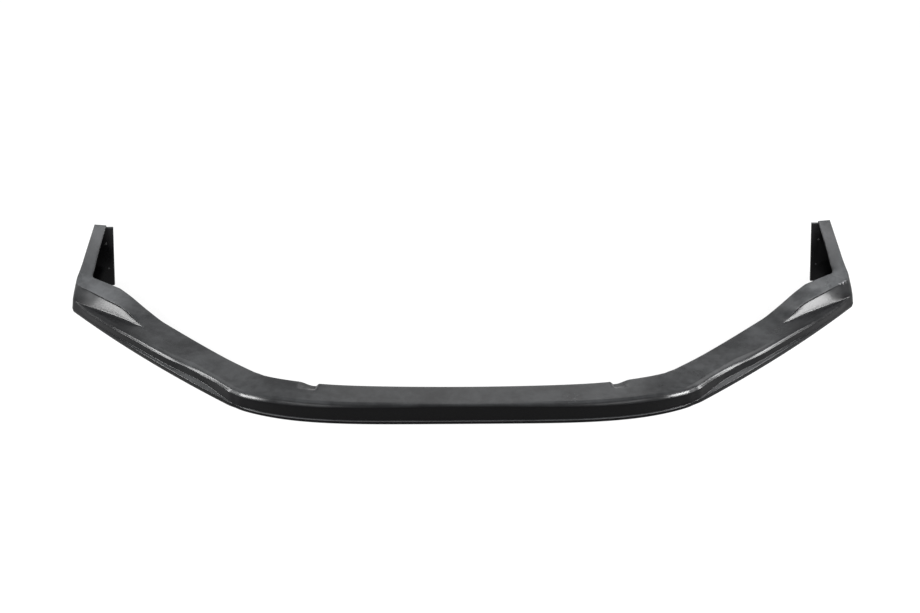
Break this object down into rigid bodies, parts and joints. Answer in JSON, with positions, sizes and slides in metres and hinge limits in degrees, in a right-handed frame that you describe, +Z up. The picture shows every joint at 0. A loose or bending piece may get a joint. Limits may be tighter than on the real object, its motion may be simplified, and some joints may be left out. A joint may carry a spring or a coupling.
{
  "type": "front splitter lip",
  "caption": "Wide front splitter lip for a car bumper, one black moulding with a swept-back blade, raised corners with angled facets and short upright arms closed by end walls.",
  "frame": {"origin": "on the ground, on the centre line, halfway between the nose's front edge and the arm ends", "axes": "+X to the right across the car seen from the front, +Y from the nose back to the arm ends, +Z up"},
  "size_m": [1.7378, 0.5751, 0.158],
  "materials": {
    "black_plastic": "satin black moulded plastic with a fine grain and light scuffs"
  },
  "bodies": {
    "root": {"splitter_lip": "black_plastic"}
  },
  "joints": []
}
